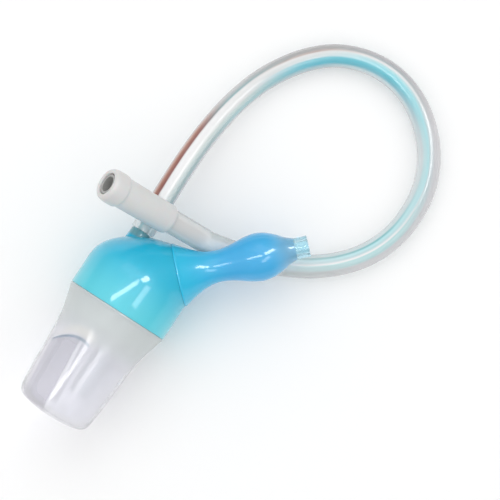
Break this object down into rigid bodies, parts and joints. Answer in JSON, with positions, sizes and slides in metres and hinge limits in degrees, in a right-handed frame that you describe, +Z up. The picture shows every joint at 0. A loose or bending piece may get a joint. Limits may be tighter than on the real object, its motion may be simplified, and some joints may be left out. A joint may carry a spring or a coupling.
{
  "type": "nasal aspirator",
  "caption": "Mouth-suction nasal aspirator lying on its side: cup with domed cap, soft bulb nozzle, and a looped hose ending in a mouthpiece.",
  "frame": {"origin": "on the floor, at the middle of the box round the cup, cap and nozzle, which lie on their side on the cup's lip", "axes": "+Y from the cup's bottom to the cap's dome, +X to the side that the nozzle leans to, +Z up, square to the mirror plane of cup, cap and nozzle"},
  "size_m": [0.1058, 0.1854, 0.0518],
  "materials": {
    "teal_plastic": "glossy translucent polypropylene",
    "milky_plastic": "milky translucent polypropylene",
    "blue_silicone": "satin translucent silicone",
    "clear_silicone": "clear silicone with a pale blue cast",
    "clear_hose": "clear soft PVC",
    "grey_elastomer": "satin warm light grey elastomer",
    "white_plastic": "satin white plastic"
  },
  "bodies": {
    "head": {"cap_shell": "teal_plastic", "cap_seal": "clear_silicone", "inlet_pipe": "milky_plastic"},
    "cup": {"collection_cup": "milky_plastic"},
    "nozzle": {"nozzle": "blue_silicone", "nozzle_tip": "clear_silicone"},
    "hose": {"hose": "clear_hose", "hose_port_end": "clear_hose", "hose_mouth_end": "clear_hose", "mouthpiece_stem": "white_plastic"},
    "mouthpiece": {"mouthpiece": "grey_elastomer", "mouthpiece_liner": "white_plastic"}
  },
  "joints": [
    {"name": "cup_pull_off", "type": "slide", "parent": "head", "child": "cup", "axis": [0, -1, 0], "range_m": [0, 0.06]},
    {"name": "nozzle_turn", "type": "hinge", "parent": "head", "child": "nozzle", "pos_m": [-0.0028, 0.0158, 0.02035], "axis": [0.7022, 0.712, 0], "continuous": true},
    {"name": "hose_pull_off", "type": "slide", "parent": "head", "child": "hose", "axis": [0, 1, 0], "range_m": [0, 0.03]},
    {"name": "mouthpiece_pull_off", "type": "slide", "parent": "hose", "child": "mouthpiece", "axis": [-0.77, -0.0747, 0.6337], "range_m": [0, 0.03]}
  ]
}
